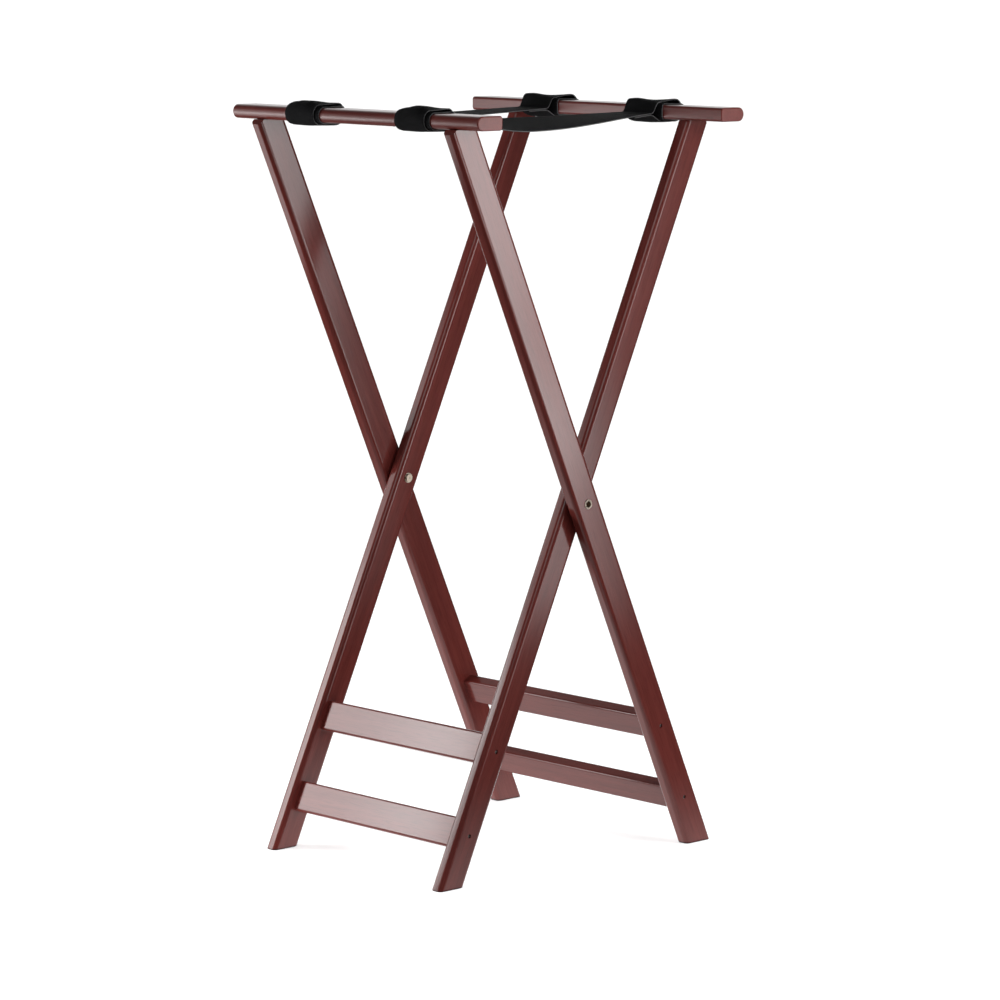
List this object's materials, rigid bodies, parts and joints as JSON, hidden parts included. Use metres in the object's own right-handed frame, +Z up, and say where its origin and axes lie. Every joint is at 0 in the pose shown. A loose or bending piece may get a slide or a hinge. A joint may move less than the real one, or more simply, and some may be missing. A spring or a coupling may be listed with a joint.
{
  "type": "folding tray stand",
  "caption": "Tall folding wooden rack: two crossed leg frames turn on one pivot line, and webbing straps looped round the top rails hold it open.",
  "frame": {"origin": "on the floor under the middle of the open rack", "axes": "+X along the top rails to the right, +Y from the front rail to the rear rail, +Z up"},
  "size_m": [0.461, 0.4762, 0.9688],
  "materials": {
    "stained_wood": "red-brown mahogany stain under satin-gloss lacquer, fine lengthwise grain",
    "dowel_wood": "bare turned hardwood",
    "webbing": "black woven webbing, matte with faint ribs and stitched seams",
    "rivet_metal": "pale brass-plated steel, bright rolled rim",
    "screw_steel": "dark oxide",
    "spacer": "pale matte plastic"
  },
  "bodies": {
    "outer_frame": {"outer_rail": "stained_wood", "outer_leg_left": "stained_wood", "outer_leg_right": "stained_wood", "outer_upper_stretcher": "stained_wood", "outer_lower_stretcher": "stained_wood", "pivot_rivet_left": "rivet_metal", "pivot_rivet_right": "rivet_metal", "pivot_head_washer_left": "rivet_metal", "pivot_head_washer_right": "rivet_metal", "pivot_spacer_left": "spacer", "pivot_spacer_right": "spacer", "outer_rail_screws": "screw_steel", "outer_rail_plugs": "stained_wood", "outer_rail_dowels": "dowel_wood", "outer_stretcher_screws": "screw_steel", "outer_stretcher_dowels": "dowel_wood", "left_strap_front_loop": "webbing", "right_strap_front_loop": "webbing", "left_strap_front_collar": "webbing", "right_strap_front_collar": "webbing"},
    "inner_frame": {"inner_rail": "stained_wood", "inner_leg_left": "stained_wood", "inner_leg_right": "stained_wood", "inner_upper_stretcher": "stained_wood", "inner_lower_stretcher": "stained_wood", "inner_rail_screws": "screw_steel", "inner_rail_plugs": "stained_wood", "inner_rail_dowels": "dowel_wood", "inner_stretcher_screws": "screw_steel", "inner_stretcher_dowels": "dowel_wood", "left_strap_rear_loop": "webbing", "right_strap_rear_loop": "webbing", "left_strap_rear_collar": "webbing", "right_strap_rear_collar": "webbing"},
    "left_strap_front_span": {"left_strap_front_span": "webbing"},
    "left_strap_front_end": {"left_strap_front_end": "webbing"},
    "left_strap_rear_span": {"left_strap_rear_span": "webbing"},
    "left_strap_rear_end": {"left_strap_rear_end": "webbing"},
    "right_strap_front_span": {"right_strap_front_span": "webbing"},
    "right_strap_front_end": {"right_strap_front_end": "webbing"},
    "right_strap_rear_span": {"right_strap_rear_span": "webbing"},
    "right_strap_rear_end": {"right_strap_rear_end": "webbing"}
  },
  "joints": [
    {"name": "fold", "type": "hinge", "parent": "outer_frame", "child": "inner_frame", "pos_m": [0, 0, 0.469], "axis": [1, 0, 0], "range_deg": [0, 38]},
    {"name": "left_strap_front_swing", "type": "hinge", "parent": "outer_frame", "child": "left_strap_front_span", "pos_m": [0, -0.17734, 0.954], "axis": [1, 0, 0], "range_deg": [-69.75, 0], "deforming": ["left_strap_front_span"]},
    {"name": "left_strap_front_turn", "type": "hinge", "parent": "left_strap_front_span", "child": "left_strap_front_end", "pos_m": [0, -0.00977, 0.94833], "axis": [1, 0, 0], "range_deg": [0, 90.9], "deforming": ["left_strap_front_end"]},
    {"name": "left_strap_rear_swing", "type": "hinge", "parent": "inner_frame", "child": "left_strap_rear_span", "pos_m": [0, 0.17734, 0.954], "axis": [1, 0, 0], "range_deg": [0, 69.75], "deforming": ["left_strap_rear_span"]},
    {"name": "left_strap_rear_turn", "type": "hinge", "parent": "left_strap_rear_span", "child": "left_strap_rear_end", "pos_m": [0, 0.00977, 0.94833], "axis": [1, 0, 0], "range_deg": [-90.9, 0], "deforming": ["left_strap_rear_end"]},
    {"name": "right_strap_front_swing", "type": "hinge", "parent": "outer_frame", "child": "right_strap_front_span", "pos_m": [0, -0.17734, 0.954], "axis": [1, 0, 0], "range_deg": [-69.75, 0], "deforming": ["right_strap_front_span"]},
    {"name": "right_strap_front_turn", "type": "hinge", "parent": "right_strap_front_span", "child": "right_strap_front_end", "pos_m": [0, -0.00977, 0.94833], "axis": [1, 0, 0], "range_deg": [0, 90.9], "deforming": ["right_strap_front_end"]},
    {"name": "right_strap_rear_swing", "type": "hinge", "parent": "inner_frame", "child": "right_strap_rear_span", "pos_m": [0, 0.17734, 0.954], "axis": [1, 0, 0], "range_deg": [0, 69.75], "deforming": ["right_strap_rear_span"]},
    {"name": "right_strap_rear_turn", "type": "hinge", "parent": "right_strap_rear_span", "child": "right_strap_rear_end", "pos_m": [0, 0.00977, 0.94833], "axis": [1, 0, 0], "range_deg": [-90.9, 0], "deforming": ["right_strap_rear_end"]}
  ],
  "couplings": [
    {"joint": "left_strap_front_swing", "follows": "fold", "ratio": -1.8174},
    {"joint": "left_strap_front_turn", "follows": "fold", "ratio": 2.3684},
    {"joint": "left_strap_rear_swing", "follows": "fold", "ratio": 1.8174},
    {"joint": "left_strap_rear_turn", "follows": "fold", "ratio": -2.3684},
    {"joint": "right_strap_front_swing", "follows": "fold", "ratio": -1.8174},
    {"joint": "right_strap_front_turn", "follows": "fold", "ratio": 2.3684},
    {"joint": "right_strap_rear_swing", "follows": "fold", "ratio": 1.8174},
    {"joint": "right_strap_rear_turn", "follows": "fold", "ratio": -2.3684}
  ]
}
